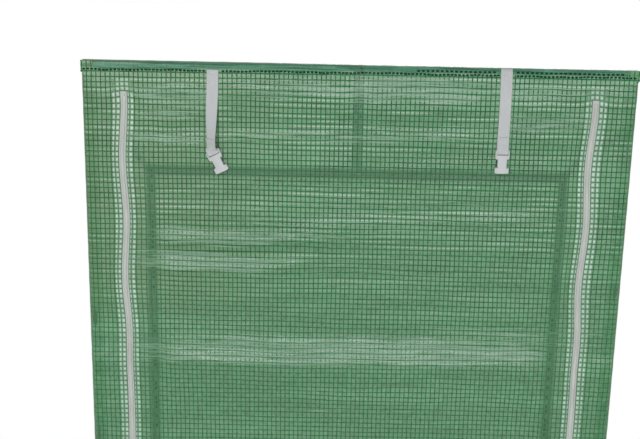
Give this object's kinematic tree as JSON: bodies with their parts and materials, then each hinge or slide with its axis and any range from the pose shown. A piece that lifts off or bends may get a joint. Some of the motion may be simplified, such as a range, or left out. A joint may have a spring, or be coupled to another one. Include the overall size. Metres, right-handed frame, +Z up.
{
  "type": "polytunnel greenhouse end wall with zipped roll-up door",
  "caption": "Flat end wall of a polytunnel greenhouse: plugged tube frame under grid-reinforced green film, with a zipped roll-up door flap, webbing straps and side-release buckles.",
  "frame": {"origin": "on the ground, in the middle of the base rail's underside", "axes": "+Z up; +X to the right seen from outside; +Y into the tunnel, so the outside of the door faces -Y"},
  "size_m": [0.952, 0.0644, 2],
  "materials": {
    "frame_green": "powder-coated steel tube",
    "plug_plastic": "moulded",
    "film": "glossy, grid-reinforced film",
    "zip_tape": "woven tape",
    "zip_coil": "nylon coil",
    "zip_metal": "white lacquer on zinc",
    "webbing": "ribbed polypropylene webbing",
    "buckle_plastic": "moulded"
  },
  "bodies": {
    "root": {"base_rail": "frame_green", "top_rail": "frame_green", "corner_post_left": "frame_green", "corner_post_right": "frame_green", "door_post_left": "frame_green", "door_post_right": "frame_green", "lintel": "frame_green", "centre_strut": "frame_green", "base_corner_left": "plug_plastic", "base_corner_right": "plug_plastic", "top_corner_left": "plug_plastic", "top_corner_right": "plug_plastic", "lintel_corner_left": "plug_plastic", "lintel_corner_right": "plug_plastic", "door_foot_left": "plug_plastic", "door_foot_right": "plug_plastic", "strut_saddle_lower": "plug_plastic", "strut_saddle_upper": "plug_plastic", "door_flap": "film", "jamb_strip_left": "film", "jamb_strip_right": "film", "top_sleeve": "film", "side_sleeve_left": "film", "side_sleeve_right": "film", "zip_tape_left": "zip_tape", "zip_tape_right": "zip_tape", "zip_coil_left": "zip_coil", "zip_coil_right": "zip_coil", "zip_slider_left": "zip_metal", "zip_slider_right": "zip_metal", "zip_pull_left": "zip_metal", "zip_pull_right": "zip_metal", "outer_strap_left": "webbing", "outer_strap_right": "webbing", "buckle_socket_left": "buckle_plastic", "buckle_socket_right": "buckle_plastic", "inner_strap_left": "webbing", "inner_strap_right": "webbing", "buckle_plug_left": "buckle_plastic", "buckle_plug_right": "buckle_plastic"}
  },
  "joints": []
}
